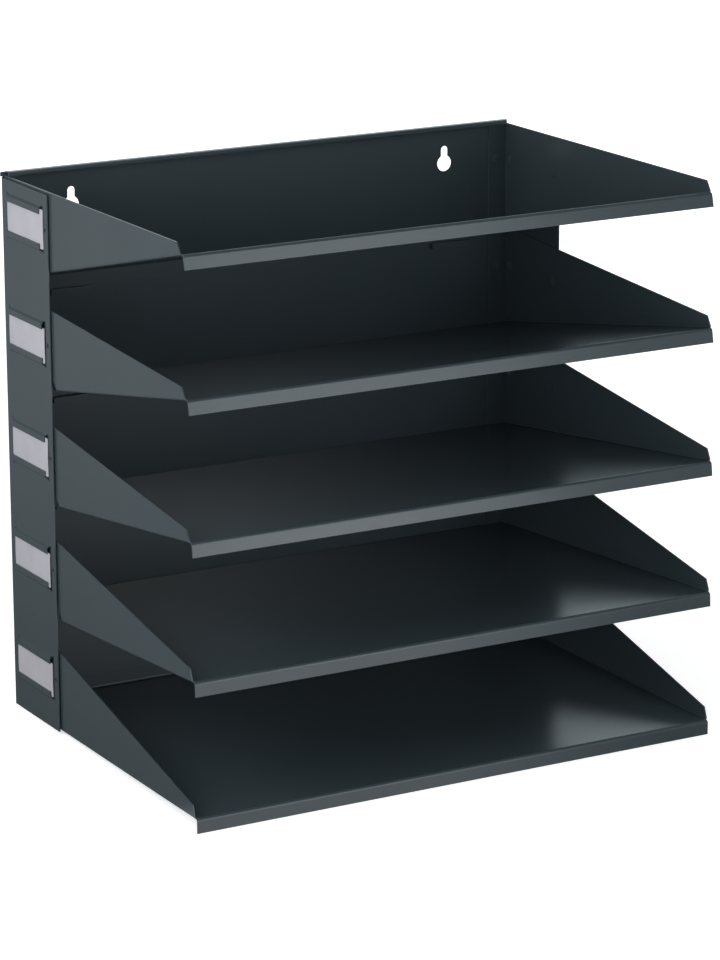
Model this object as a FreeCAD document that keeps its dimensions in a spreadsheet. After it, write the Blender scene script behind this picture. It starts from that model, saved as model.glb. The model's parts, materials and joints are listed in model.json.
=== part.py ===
"""Wall sorter folded from sheet steel: a back panel, two cheeks and five sloping letter trays.

Frame: X runs to the right, -Y points away from the wall, Z points up. The origin is the middle of
the back panel's wall face at its bottom edge. All sizes are in millimetres.
"""
import FreeCAD, Part
import os
import Sketcher

TRAY_COUNT = 5

# Driving dimensions: alias, value.
DIMENSIONS = (
    # sheet stock and folding
    ("sheet_gauge", 0.8),
    ("bend_radius", 1.0),
    # outline of the carcass
    ("overall_width", 360.0),
    ("headroom", 67.5),
    ("top_flange_depth", 6.0),
    ("top_return_height", 2.4),
    ("top_flange_inset", 3.0),
    ("panel_edge_inset", 1.4),
    ("ear_gap", 0.3),
    ("cheek_depth", 66.5),
    ("cheek_top_drop", 3.5),
    ("cheek_flange_width", 14.0),
    ("cheek_bend_radius", 1.0),
    # tray levels, counted from the bottom tray up
    ("first_pitch", 67.0),
    ("rear_pitch", 68.5),
    ("front_pitch", 83.0),
    # one tray
    ("floor_length", 248.0),
    ("lip_height", 9.0),
    ("wing_height", 51.0),
    ("wing_tip_height", 8.3),
    ("wing_tip_setback", 2.4),
    ("wing_tip_slant", 2.4),
    ("rear_flange_height", 9.2),
    ("side_gap", 0.8),
    ("rear_gap", 1.9),
    ("flange_side_gap", 0.5),
    ("crest_gap", 1.0),
    ("wing_relief_width", 4.8),
    ("wing_relief_height", 12.0),
    ("wing_relief_overlap", 2.5),
    # keyholes
    ("keyhole_spacing", 266.0),
    ("keyhole_drop", 25.2),
    ("keyhole_radius", 5.25),
    ("slot_width", 5.1),
    ("slot_rise", 8.8),
    # hooks that carry the rear flanges
    ("hook_inset", 30.0),
    ("hook_width", 28.0),
    ("hook_gap", 2.5),
    ("hook_depth", 4.5),
    ("hook_lip_height", 2.6),
    # label holders on the left cheek
    ("label_height", 32.5),
    ("label_step", 2.0),
    ("card_width", 50.4),
    ("card_height", 24.2),
    ("card_thickness", 0.3),
    ("card_offset", -1.05),
    ("card_play", 0.075),
    ("card_edge_play", 0.3),
    ("card_view_height", 18.1),
    ("joggle_height", 1.4),
    ("tongue_rear_inset", 0.3),
    ("tongue_front_inset", 2.6),
    ("tongue_slit", 0.6),
    ("end_slot_width", 3.7),
    ("relief_hole_radius", 0.8),
    # semi-tubular rivets
    ("rivet_radius", 1.6),
    ("rivet_fit", 0.05),
    ("rivet_bore_radius", 1.2),
    ("rivet_bore_depth", 1.5),
    ("rivet_collar_radius", 2.4),
    ("rivet_head_radius", 2.8),
    ("rivet_head_height", 0.5),
    ("front_rivet_inset", 3.6),
    ("rear_rivet_inset", 10.2),
    ("flange_rivet_inset", 8.0),
    ("tray_rivet_spacing", 60.0),
)

# How far each card has been pushed towards the front and how much its top edge has been trimmed,
# from the bottom card up.
CARD_SHIFTS = (0.0, 0.0, 0.8, 0.0, 1.6)
CARD_TRIMS = (2.4, 2.4, 0.0, 2.4, 0.0)

GAUGE = "Sizes.sheet_gauge"
HALF_WIDTH = "Sizes.overall_width / 2"
TRAY_HALF = "(Sizes.overall_width / 2 - Sizes.sheet_gauge - Sizes.side_gap)"
FLANGE_HALF = "(Sizes.overall_width / 2 - Sizes.cheek_flange_width - Sizes.flange_side_gap)"
TOP_LEVEL = "(Sizes.first_pitch + 3 * Sizes.rear_pitch)"
PANEL_HEIGHT = f"({TOP_LEVEL} + Sizes.headroom)"
CHEEK_HEIGHT = f"({PANEL_HEIGHT} - Sizes.cheek_top_drop)"
LABEL_PITCH = "(Sizes.rear_pitch + Sizes.label_step)"
HIDDEN_EDGE = "((Sizes.card_height - Sizes.card_view_height) / 2)"
TONGUE_HEIGHT = f"({HIDDEN_EDGE} + Sizes.card_edge_play + Sizes.joggle_height)"
JOGGLE = "(Sizes.sheet_gauge + Sizes.card_thickness + 2 * Sizes.card_play)"
CARD_REAR_Y = "((Sizes.card_width - Sizes.cheek_depth) / 2 + Sizes.card_offset)"
REAR_REACH = "(Sizes.sheet_gauge + Sizes.rear_gap)"
OUTER_RADIUS = "(Sizes.bend_radius + Sizes.sheet_gauge)"
RIVET_HOLE = "(Sizes.rivet_radius + Sizes.rivet_fit)"
FRONT_RIVET_Y = "(Sizes.front_rivet_inset - Sizes.cheek_depth)"
REAR_RIVET_Y = "(-Sizes.rear_rivet_inset)"
FLANGE_RIVET_X = "(Sizes.overall_width / 2 - Sizes.flange_rivet_inset)"
TRAY_RIVET_Z = "((Sizes.rear_flange_height + Sizes.bend_radius + Sizes.sheet_gauge) / 2)"
TRAY_RIVET_COUNT = 3
SIDE_CUT_DEPTH = "2 * Sizes.sheet_gauge"

doc = FreeCAD.newDocument("Sorter")


# ---------------------------------------------------------------------------------------------
# helpers
# ---------------------------------------------------------------------------------------------
def make_sheet():
    """Put the driving dimensions in the spreadsheet, one named cell each."""
    table = doc.addObject("Spreadsheet::Sheet", "Sizes")
    for row, (alias, value) in enumerate(DIMENSIONS, start=1):
        table.set(f"A{row}", alias)
        table.set(f"B{row}", str(value))
        table.setAlias(f"B{row}", alias)
    doc.recompute()
    return table


def size(expression):
    """Value of an expression over the sheet, as a plain number."""
    value = sizes.evalExpression(expression)
    return float(getattr(value, "Value", value))


def make_body(name):
    """Empty body that carries the node's name."""
    body = doc.addObject("PartDesign::Body", name)
    body.Label = name
    return body


def origin_feature(body, role):
    """One of the body's own origin planes or axes."""
    return next(item for item in body.Origin.OriginFeatures if item.Role == role)


def make_sketch(body, name, role, offset="0"):
    """Sketch on an origin plane of the body, moved along the plane's normal."""
    sketch = body.newObject("Sketcher::SketchObject", name)
    sketch.AttachmentSupport = [(origin_feature(body, role), "")]
    sketch.MapMode = "FlatFace"
    sketch.setExpression("AttachmentOffset.Base.z", offset)
    return sketch


def drive(sketch, kind, *references, expression):
    """Add a dimension to the sketch and bind it to an expression."""
    index = sketch.addConstraint(Sketcher.Constraint(kind, *references, size(expression)))
    sketch.setExpression(f"Constraints[{index}]", expression)


def add_polygon(sketch, corners):
    """Closed outline whose corners are pairs of expressions."""
    points = [FreeCAD.Vector(size(x), size(y), 0) for x, y in corners]
    first = sketch.GeometryCount
    count = len(points)
    for index in range(count):
        sketch.addGeometry(Part.LineSegment(points[index], points[(index + 1) % count]), False)
    for index in range(count):
        following = first + (index + 1) % count
        sketch.addConstraint(Sketcher.Constraint("Coincident", first + index, 2, following, 1))
    for index, (x, y) in enumerate(corners):
        drive(sketch, "DistanceX", -1, 1, first + index, 1, expression=x)
        drive(sketch, "DistanceY", -1, 1, first + index, 1, expression=y)


def add_rectangle(sketch, left, right, bottom, top):
    """Upright rectangle between pairs of expressions."""
    add_polygon(sketch, ((left, bottom), (left, top), (right, top), (right, bottom)))


def add_circle(sketch, x, y, radius):
    """Circle whose centre and radius are expressions."""
    centre = FreeCAD.Vector(size(x), size(y), 0)
    index = sketch.addGeometry(Part.Circle(centre, FreeCAD.Vector(0, 0, 1), size(radius)), False)
    drive(sketch, "DistanceX", -1, 1, index, 3, expression=x)
    drive(sketch, "DistanceY", -1, 1, index, 3, expression=y)
    drive(sketch, "Radius", index, expression=radius)


def pad(body, name, sketch, length, midplane=False, backwards=False):
    """Solid drawn out of a sketch."""
    feature = body.newObject("PartDesign::Pad", name)
    feature.Profile = sketch
    feature.SideType = "Symmetric" if midplane else "One side"
    feature.Reversed = backwards
    feature.setExpression("Length", length)
    doc.recompute()
    return feature


def pocket(body, name, sketch, length):
    """Cut a sketch half the length deep on each side of its plane."""
    feature = cut_slab(body, name, sketch, length)
    feature.SideType = "Symmetric"
    doc.recompute()
    return feature


def cut_slab(body, name, sketch, length, backwards=False):
    """Cut a sketch to a set depth on one side of its plane."""
    before = body.Shape.Volume
    feature = body.newObject("PartDesign::Pocket", name)
    feature.Profile = sketch
    feature.Reversed = backwards
    feature.setExpression("Length", length)
    doc.recompute()
    if body.Shape.Volume >= before:
        raise RuntimeError(f"{body.Label}.{name} cuts nothing")
    return feature


def fold_edges(body, name, radius, direction, places):
    """Round the straight edges that run along a direction through the given places."""
    found = []
    for number, edge in enumerate(body.Shape.Edges, start=1):
        if edge.Curve.TypeId != "Part::GeomLine":
            continue
        if abs(abs(edge.tangentAt(edge.FirstParameter).dot(direction)) - 1.0) > 1e-6:
            continue
        start = edge.Vertexes[0].Point
        for place in places:
            across = start - place
            across = across - direction * across.dot(direction)
            if across.Length < 1e-4:
                found.append(f"Edge{number}")
    if not found:
        raise RuntimeError(f"{body.Label}.{name} finds no edge")
    base = body.Tip
    feature = body.newObject("PartDesign::Fillet", name)
    feature.Base = (base, found)
    feature.setExpression("Radius", radius)
    doc.recompute()
    return feature


def mirror_step(name, body, role):
    """Mirroring about an origin plane, for use in a pattern."""
    step = doc.addObject("PartDesign::Mirrored", name)
    step.MirrorPlane = (origin_feature(body, role), [""])
    return step


def row_step(name, body, role, pitch, count):
    """Row of copies along an origin axis, one pitch apart, for use in a pattern."""
    step = doc.addObject("PartDesign::LinearPattern", name)
    step.Direction = (origin_feature(body, role), [""])
    step.Occurrences = count
    step.setExpression("Length", f"{count - 1} * {pitch}")
    return step


def repeat(body, name, features, steps):
    """Repeat features by each of the steps in turn."""
    feature = body.newObject("PartDesign::MultiTransform", name)
    feature.Originals = features
    feature.Transformations = steps
    body.Tip = feature
    doc.recompute()
    return feature


# ---------------------------------------------------------------------------------------------
# back panel
# ---------------------------------------------------------------------------------------------
def make_back_panel():
    """Flat panel with a folded top edge, two keyholes and the hooks of the upper four trays."""
    body = make_body("back_panel")
    add_folded_panel(body)
    add_hooks(body)
    cut_keyholes(body)
    cut_panel_rivet_holes(body)
    return body


def add_folded_panel(body):
    """The panel, the ears beside its top flange, the flange and the flange's turned-down edge."""
    inside = f"-{GAUGE}"
    ear_top = f"({PANEL_HEIGHT} - {GAUGE} / 2)"
    ear_bottom = f"({CHEEK_HEIGHT} + Sizes.ear_gap)"
    plate = make_sketch(body, "plate_profile", "YZ_Plane")
    add_rectangle(plate, inside, "0", "0", ear_top)
    pad(body, "plate", plate, "Sizes.overall_width - 2 * Sizes.panel_edge_inset", midplane=True)
    ears = make_sketch(body, "ear_profile", "YZ_Plane")
    add_rectangle(ears, inside, "0", ear_bottom, ear_top)
    pad(body, "ears", ears, "Sizes.overall_width", midplane=True)

    front = "(-Sizes.top_flange_depth)"
    flange = make_sketch(body, "flange_profile", "YZ_Plane")
    add_polygon(flange, (
        ("0", ear_bottom),
        ("0", PANEL_HEIGHT),
        (front, PANEL_HEIGHT),
        (front, f"{PANEL_HEIGHT} - Sizes.top_return_height"),
        (f"{front} + {GAUGE}", f"{PANEL_HEIGHT} - Sizes.top_return_height"),
        (f"{front} + {GAUGE}", f"{PANEL_HEIGHT} - {GAUGE}"),
        (inside, f"{PANEL_HEIGHT} - {GAUGE}"),
        (inside, ear_bottom),
    ))
    pad(body, "top_flange", flange, "Sizes.overall_width - 2 * Sizes.top_flange_inset", midplane=True)

    along = FreeCAD.Vector(1, 0, 0)
    top = size(PANEL_HEIGHT)
    gauge = size(GAUGE)
    fold_edges(body, "top_fold_outside", OUTER_RADIUS, along, [FreeCAD.Vector(0, 0, top)])
    fold_edges(body, "top_fold_inside", "Sizes.bend_radius", along,
               [FreeCAD.Vector(0, -gauge, top - gauge)])
    fold_edges(body, "return_fold", f"0.75 * {GAUGE}", along, [FreeCAD.Vector(0, size(front), top)])


def add_hooks(body):
    """J-shaped hooks below the rear flanges, one pair for each tray but the lowest."""
    inside = f"-{GAUGE}"
    top = "(Sizes.first_pitch - Sizes.rear_flange_height - Sizes.hook_gap)"
    front = f"(-{GAUGE} - Sizes.hook_depth)"
    profile = make_sketch(body, "hook_profile", "YZ_Plane", f"{HALF_WIDTH} - Sizes.hook_inset")
    add_polygon(profile, (
        (inside, top),
        (inside, f"{top} - {GAUGE}"),
        (front, f"{top} - {GAUGE}"),
        (front, f"{top} + Sizes.hook_lip_height"),
        (f"{front} + {GAUGE}", f"{top} + Sizes.hook_lip_height"),
        (f"{front} + {GAUGE}", top),
    ))
    hook = pad(body, "hook", profile, "Sizes.hook_width", backwards=True)
    repeat(body, "hooks", [hook], [
        row_step("hook_levels", body, "Z_Axis", "Sizes.rear_pitch", TRAY_COUNT - 1),
        mirror_step("hook_sides", body, "YZ_Plane"),
    ])


def cut_keyholes(body):
    """Round entry with a slot above it, on both sides."""
    across = "(Sizes.keyhole_spacing / 2)"
    entry = f"({PANEL_HEIGHT} - Sizes.keyhole_drop)"
    rounds = make_sketch(body, "keyhole_entry_outline", "XZ_Plane")
    add_circle(rounds, across, entry, "Sizes.keyhole_radius")
    entry_cut = cut_slab(body, "keyhole_entry", rounds, SIDE_CUT_DEPTH, backwards=True)

    slots = make_sketch(body, "keyhole_slot_outline", "XZ_Plane")
    add_rectangle(slots, f"{across} - Sizes.slot_width / 2", f"{across} + Sizes.slot_width / 2",
                  entry, f"{entry} + Sizes.slot_rise")
    slot_cut = cut_slab(body, "keyhole_slot", slots, SIDE_CUT_DEPTH, backwards=True)

    ends = make_sketch(body, "keyhole_end_outline", "XZ_Plane")
    add_circle(ends, across, f"{entry} + Sizes.slot_rise", "Sizes.slot_width / 2")
    end_cut = cut_slab(body, "keyhole_end", ends, SIDE_CUT_DEPTH, backwards=True)
    repeat(body, "keyholes", [entry_cut, slot_cut, end_cut], [mirror_step("keyhole_sides", body, "YZ_Plane")])


def cut_panel_rivet_holes(body):
    """Holes for the cheek flanges' rivets and for the lowest tray's rivets."""
    flange_holes = make_sketch(body, "flange_rivet_outline", "XZ_Plane")
    add_circle(flange_holes, FLANGE_RIVET_X, "Sizes.label_height", RIVET_HOLE)
    flange_cut = cut_slab(body, "flange_rivet_hole", flange_holes, SIDE_CUT_DEPTH, backwards=True)
    repeat(body, "flange_rivet_holes", [flange_cut], [
        row_step("flange_rivet_levels", body, "Z_Axis", LABEL_PITCH, TRAY_COUNT),
        mirror_step("flange_rivet_sides", body, "YZ_Plane"),
    ])
    tray_holes = make_sketch(body, "tray_rivet_outline", "XZ_Plane")
    add_circle(tray_holes, "-Sizes.tray_rivet_spacing", TRAY_RIVET_Z, RIVET_HOLE)
    tray_cut = cut_slab(body, "tray_rivet_hole", tray_holes, SIDE_CUT_DEPTH, backwards=True)
    repeat(body, "tray_rivet_holes", [tray_cut], [
        row_step("tray_rivet_row", body, "X_Axis", "Sizes.tray_rivet_spacing", TRAY_RIVET_COUNT),
    ])


# ---------------------------------------------------------------------------------------------
# cheeks
# ---------------------------------------------------------------------------------------------
def make_cheek(name, side):
    """Side plate with a rear flange against the back panel; side is -1 on the left, 1 on the right."""
    body = make_body(name)
    outer = f"({side} * {HALF_WIDTH})"
    inner = f"({side} * ({HALF_WIDTH} - {GAUGE}))"
    flange_end = f"({side} * ({HALF_WIDTH} - Sizes.cheek_flange_width))"
    plan = make_sketch(body, "cheek_plan", "XY_Plane")
    add_polygon(plan, (
        (outer, "-Sizes.cheek_depth"),
        (outer, f"-{GAUGE}"),
        (flange_end, f"-{GAUGE}"),
        (flange_end, f"-2 * {GAUGE}"),
        (inner, f"-2 * {GAUGE}"),
        (inner, "-Sizes.cheek_depth"),
    ))
    pad(body, "cheek", plan, CHEEK_HEIGHT)
    upright = FreeCAD.Vector(0, 0, 1)
    gauge = size(GAUGE)
    fold_edges(body, "fold_outside", f"Sizes.cheek_bend_radius + {GAUGE}", upright,
               [FreeCAD.Vector(size(outer), -gauge, 0)])
    fold_edges(body, "fold_inside", "Sizes.cheek_bend_radius", upright,
               [FreeCAD.Vector(size(inner), -2 * gauge, 0)])
    cut_cheek_rivet_holes(body, side)
    return body


def cut_cheek_rivet_holes(body, side):
    """Two holes per tray in the side plate and one in the flange."""
    wing_holes = make_sketch(body, "wing_rivet_outline", "YZ_Plane", f"{side} * {HALF_WIDTH}")
    for inset in (FRONT_RIVET_Y, REAR_RIVET_Y):
        add_circle(wing_holes, inset, "Sizes.label_height", RIVET_HOLE)
    wing_cut = cut_slab(body, "wing_rivet_hole", wing_holes, SIDE_CUT_DEPTH, backwards=side < 0)
    flange_holes = make_sketch(body, "flange_rivet_outline", "XZ_Plane")
    add_circle(flange_holes, f"{side} * {FLANGE_RIVET_X}", "Sizes.label_height", RIVET_HOLE)
    flange_cut = cut_slab(body, "flange_rivet_hole", flange_holes, f"3 * {GAUGE}", backwards=True)
    levels = row_step(f"{body.Label}_rivet_levels", body, "Z_Axis", LABEL_PITCH, TRAY_COUNT)
    repeat(body, "rivet_holes", [wing_cut, flange_cut], [levels])


def add_label_holders(body):
    """Joggled tongues above and below each label, cut out of the left side plate and pressed outwards."""
    tongue_rear = f"({CARD_REAR_Y} - Sizes.tongue_rear_inset)"
    tongue_front = f"({CARD_REAR_Y} - Sizes.card_width + Sizes.tongue_front_inset)"
    window_rear = f"({tongue_rear} + Sizes.tongue_slit)"
    window_front = f"({tongue_front} - Sizes.end_slot_width)"
    hinge = f"(Sizes.card_view_height / 2 + {TONGUE_HEIGHT})"
    free_edge = "(Sizes.card_view_height / 2)"

    windows = make_sketch(body, "window_outline", "YZ_Plane", f"-{HALF_WIDTH}")
    add_polygon(windows, (
        (window_front, f"Sizes.label_height - {hinge}"),
        (window_rear, f"Sizes.label_height - {hinge}"),
        (window_rear, f"Sizes.label_height - {free_edge}"),
        (tongue_front, f"Sizes.label_height - {free_edge}"),
        (tongue_front, f"Sizes.label_height + {free_edge}"),
        (window_rear, f"Sizes.label_height + {free_edge}"),
        (window_rear, f"Sizes.label_height + {hinge}"),
        (window_front, f"Sizes.label_height + {hinge}"),
    ))
    window_cut = cut_slab(body, "windows", windows, SIDE_CUT_DEPTH, backwards=True)

    tongues = make_sketch(body, "tongue_profile", "XZ_Plane", f"-{tongue_rear}")
    outside = f"-{HALF_WIDTH}"
    bend_rise = f"({GAUGE} * tan(atan({JOGGLE} / Sizes.joggle_height) / 2))"
    for half in (1, -1):
        add_polygon(tongues, (
            (f"{outside} + {GAUGE}", f"Sizes.label_height + {half} * {hinge}"),
            (outside, f"Sizes.label_height + {half} * {hinge}"),
            (f"{outside} - {JOGGLE}", f"Sizes.label_height + {half} * ({hinge} - Sizes.joggle_height)"),
            (f"{outside} - {JOGGLE}", f"Sizes.label_height + {half} * {free_edge}"),
            (f"{outside} - {JOGGLE} + {GAUGE}", f"Sizes.label_height + {half} * {free_edge}"),
            (f"{outside} - {JOGGLE} + {GAUGE}",
             f"Sizes.label_height + {half} * ({hinge} - Sizes.joggle_height - {bend_rise})"),
            (f"{outside} + {GAUGE}", f"Sizes.label_height + {half} * ({hinge} - {bend_rise})"),
        ))
    tongue_pad = pad(body, "tongues", tongues, f"{tongue_rear} - {tongue_front}")

    corners = make_sketch(body, "relief_outline", "YZ_Plane", f"-{HALF_WIDTH}")
    for half in (1, -1):
        for end in (f"{window_rear} - Sizes.tongue_slit / 2",
                    f"{window_front} + Sizes.relief_hole_radius"):
            add_circle(corners, end, f"Sizes.label_height + {half} * {hinge}", "Sizes.relief_hole_radius")
    relief_cut = cut_slab(body, "relief_holes", corners, SIDE_CUT_DEPTH, backwards=True)
    levels = row_step("holder_levels", body, "Z_Axis", LABEL_PITCH, TRAY_COUNT)
    repeat(body, "label_holders", [window_cut, tongue_pad, relief_cut], [levels])


# ---------------------------------------------------------------------------------------------
# trays
# ---------------------------------------------------------------------------------------------
class TrayLevel:
    """Expressions that differ from tray to tray; level 0 is the lowest tray."""

    def __init__(self, level):
        """Work out the expressions of one level."""
        self.level = level
        self.name = f"tray_{TRAY_COUNT - level}"
        self.rear = "0" if level == 0 else f"(Sizes.first_pitch + {level - 1} * Sizes.rear_pitch)"
        self.tilt = f"asin(({level} * Sizes.front_pitch - {self.rear}) / Sizes.floor_length)"
        if level == 0:
            self.space = "Sizes.first_pitch"
        elif level == TRAY_COUNT - 1:
            self.space = f"(Sizes.headroom - {GAUGE})"
        else:
            self.space = "Sizes.rear_pitch"


def make_tray(level):
    """Floor with a turned-down lip, two wings and a rear flange, sloping down to the wall."""
    tray = TrayLevel(level)
    body = make_body(tray.name)
    add_floor_and_lip(body, tray)
    add_rear_flange(body, tray)
    round_end_folds(body, tray)
    add_wings(body, tray)
    cut_front_slits(body)
    round_wing_folds(body)
    if 0 < level < TRAY_COUNT - 1:
        cut_wing_relief(body, tray)
    cut_wing_rivet_holes(body, tray)
    if level == 0:
        cut_upstand_rivet_holes(body)
    body.Placement = FreeCAD.Placement(FreeCAD.Vector(), FreeCAD.Rotation(FreeCAD.Vector(1, 0, 0), 1))
    body.setExpression("Placement.Rotation.Angle", f"-{tray.tilt}")
    body.setExpression("Placement.Base.y", f"-{GAUGE}")
    body.setExpression("Placement.Base.z", tray.rear)
    doc.recompute()
    return body


def add_floor_and_lip(body, tray):
    """Floor plate from the cheek flanges to the lip, and the lip turned down at its front edge."""
    slant = f"({GAUGE} * sin({tray.tilt}))"
    cosine = f"cos({tray.tilt})"
    front = "(-Sizes.floor_length)"
    profile = make_sketch(body, "floor_profile", "YZ_Plane")
    add_polygon(profile, (
        (f"-{REAR_REACH} / {cosine}", "0"),
        (f"-({REAR_REACH} + {slant}) / {cosine}", GAUGE),
        (front, GAUGE),
        (front, f"{GAUGE} - Sizes.lip_height"),
        (f"{front} + {GAUGE}", f"{GAUGE} - Sizes.lip_height"),
        (f"{front} + {GAUGE}", "0"),
    ))
    pad(body, "floor", profile, f"2 * ({TRAY_HALF} - {GAUGE})", midplane=True)


def add_rear_flange(body, tray):
    """Flange flat against the back panel: turned up on the lowest tray, down on the others."""
    root = f"(-2 * {REAR_REACH})"
    flange = make_sketch(body, "rear_flange_profile", "YZ_Plane")
    if tray.level == 0:
        corners = (
            (root, "0"),
            ("0", "0"),
            ("0", "Sizes.rear_flange_height"),
            (f"-{GAUGE}", "Sizes.rear_flange_height"),
            (f"-{GAUGE}", GAUGE),
            (root, GAUGE),
        )
    else:
        sine = f"sin({tray.tilt})"
        cosine = f"cos({tray.tilt})"
        corners = (
            (root, GAUGE),
            (f"-{GAUGE} * {sine} / {cosine}", GAUGE),
            (f"Sizes.rear_flange_height * {sine}", f"-Sizes.rear_flange_height * {cosine}"),
            (f"Sizes.rear_flange_height * {sine} - {GAUGE} * {cosine}",
             f"-Sizes.rear_flange_height * {cosine} - {GAUGE} * {sine}"),
            (f"-{GAUGE} / {cosine}", "0"),
            (root, "0"),
        )
    add_polygon(flange, corners)
    pad(body, "rear_flange", flange, f"2 * {FLANGE_HALF}", midplane=True)


def add_wings(body, tray):
    """Side wings, highest at the wall, running down in one straight line to slanting front edges."""
    sine = f"sin({tray.tilt})"
    cosine = f"cos({tray.tilt})"
    tip = "(Sizes.floor_length - Sizes.wing_tip_setback)"
    crest_end = f"({tip} - Sizes.wing_tip_slant)"
    slope = f"((Sizes.wing_height - Sizes.wing_tip_height) / ({crest_end} - Sizes.cheek_depth))"
    at_wall = f"(Sizes.wing_height + {slope} * Sizes.cheek_depth)"
    line_end = f"(({at_wall} - {slope} * {REAR_REACH} / {cosine}) / (1 + {slope} * {sine} / {cosine}))"
    rear_top = f"min({line_end}; {tray.space} - Sizes.crest_gap)"
    outline = make_sketch(body, "wing_outline", "YZ_Plane", TRAY_HALF)
    add_polygon(outline, (
        (f"-{REAR_REACH} / {cosine}", "0"),
        (f"-({REAR_REACH} + {rear_top} * {sine}) / {cosine}", rear_top),
        (f"-{crest_end}", "Sizes.wing_tip_height"),
        (f"-{tip}", OUTER_RADIUS),
        (f"-{tip}", "0"),
    ))
    wing = pad(body, "wing", outline, GAUGE, backwards=True)
    repeat(body, "wings", [wing], [mirror_step("wing_sides", body, "YZ_Plane")])


def cut_front_slits(body):
    """Slits that part the wings' folds from the lip's fold."""
    tip = "(Sizes.wing_tip_setback - Sizes.floor_length)"
    slit_front = f"({OUTER_RADIUS} - Sizes.floor_length)"
    outer = TRAY_HALF
    inner = f"({TRAY_HALF} - {OUTER_RADIUS} - {GAUGE})"
    outline = make_sketch(body, "slit_outline", "XY_Plane")
    add_polygon(outline, (
        (inner, tip),
        (outer, tip),
        (outer, slit_front),
        (inner, slit_front),
    ))
    slit = cut_slab(body, "slit", outline, SIDE_CUT_DEPTH, backwards=True)
    repeat(body, "slits", [slit], [mirror_step("slit_sides", body, "YZ_Plane")])


def round_end_folds(body, tray):
    """Bend radii of the lip and the rear flange."""
    along = FreeCAD.Vector(1, 0, 0)
    gauge = size(GAUGE)
    front = -size("Sizes.floor_length")
    if tray.level == 0:
        rear_outer = FreeCAD.Vector(0, 0, 0)
        rear_inner = FreeCAD.Vector(0, -gauge, gauge)
    else:
        rear_outer = FreeCAD.Vector(0, -gauge * size(f"tan({tray.tilt})"), gauge)
        rear_inner = FreeCAD.Vector(0, -gauge / size(f"cos({tray.tilt})"), 0)
    fold_edges(body, "end_folds_outside", OUTER_RADIUS, along,
               [FreeCAD.Vector(0, front, gauge), rear_outer])
    fold_edges(body, "end_folds_inside", "Sizes.bend_radius", along,
               [FreeCAD.Vector(0, front + gauge, 0), rear_inner])


def round_wing_folds(body):
    """Bend radii between the floor and the wings."""
    along = FreeCAD.Vector(0, 1, 0)
    gauge = size(GAUGE)
    half = size(TRAY_HALF)
    fold_edges(body, "wing_folds_outside", OUTER_RADIUS, along,
               [FreeCAD.Vector(sign * half, 0, 0) for sign in (-1, 1)])
    fold_edges(body, "wing_folds_inside", "Sizes.bend_radius", along,
               [FreeCAD.Vector(sign * (half - gauge), 0, gauge) for sign in (-1, 1)])


def cut_wing_relief(body, tray):
    """Three-cornered relief through the left wing's fold where the cheek's front edge crosses it."""
    edge = f"(-(Sizes.cheek_depth - {GAUGE}) / cos({tray.tilt}))"
    outline = make_sketch(body, "relief_outline", "YZ_Plane", f"-{TRAY_HALF}")
    add_polygon(outline, (
        (f"{edge} + Sizes.wing_relief_overlap", "0"),
        (f"{edge} - Sizes.wing_relief_width", "0"),
        (f"{edge} + Sizes.wing_relief_overlap", "Sizes.wing_relief_height"),
    ))
    cut_slab(body, "wing_relief", outline, OUTER_RADIUS, backwards=True)


def cut_wing_rivet_holes(body, tray):
    """Two rivet holes through each wing, at the height of the tray's label."""
    sine = f"sin({tray.tilt})"
    cosine = f"cos({tray.tilt})"
    rise = f"(Sizes.label_height + {tray.level} * {LABEL_PITCH} - {tray.rear})"
    outline = make_sketch(body, "wing_rivet_outline", "YZ_Plane")
    for place in (FRONT_RIVET_Y, REAR_RIVET_Y):
        depth = f"({place} + {GAUGE})"
        add_circle(outline, f"{depth} * {cosine} - {rise} * {sine}", f"{depth} * {sine} + {rise} * {cosine}",
                   RIVET_HOLE)
    pocket(body, "wing_rivet_holes", outline, "Sizes.overall_width")


def cut_upstand_rivet_holes(body):
    """Row of rivet holes through the lowest tray's rear flange."""
    outline = make_sketch(body, "upstand_rivet_outline", "XZ_Plane")
    add_circle(outline, "-Sizes.tray_rivet_spacing", TRAY_RIVET_Z, RIVET_HOLE)
    hole = cut_slab(body, "upstand_rivet_hole", outline, SIDE_CUT_DEPTH, backwards=True)
    repeat(body, "upstand_rivet_holes", [hole], [
        row_step("upstand_rivet_row", body, "X_Axis", "Sizes.tray_rivet_spacing", TRAY_RIVET_COUNT),
    ])


# ---------------------------------------------------------------------------------------------
# rivets and label cards
# ---------------------------------------------------------------------------------------------
def turn(body, name, sketch, axis):
    """Solid of revolution about one of the sketch's own axes."""
    feature = body.newObject("PartDesign::Revolution", name)
    feature.Profile = sketch
    feature.ReferenceAxis = (sketch, [axis])
    feature.Angle = 360
    doc.recompute()
    return feature


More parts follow.
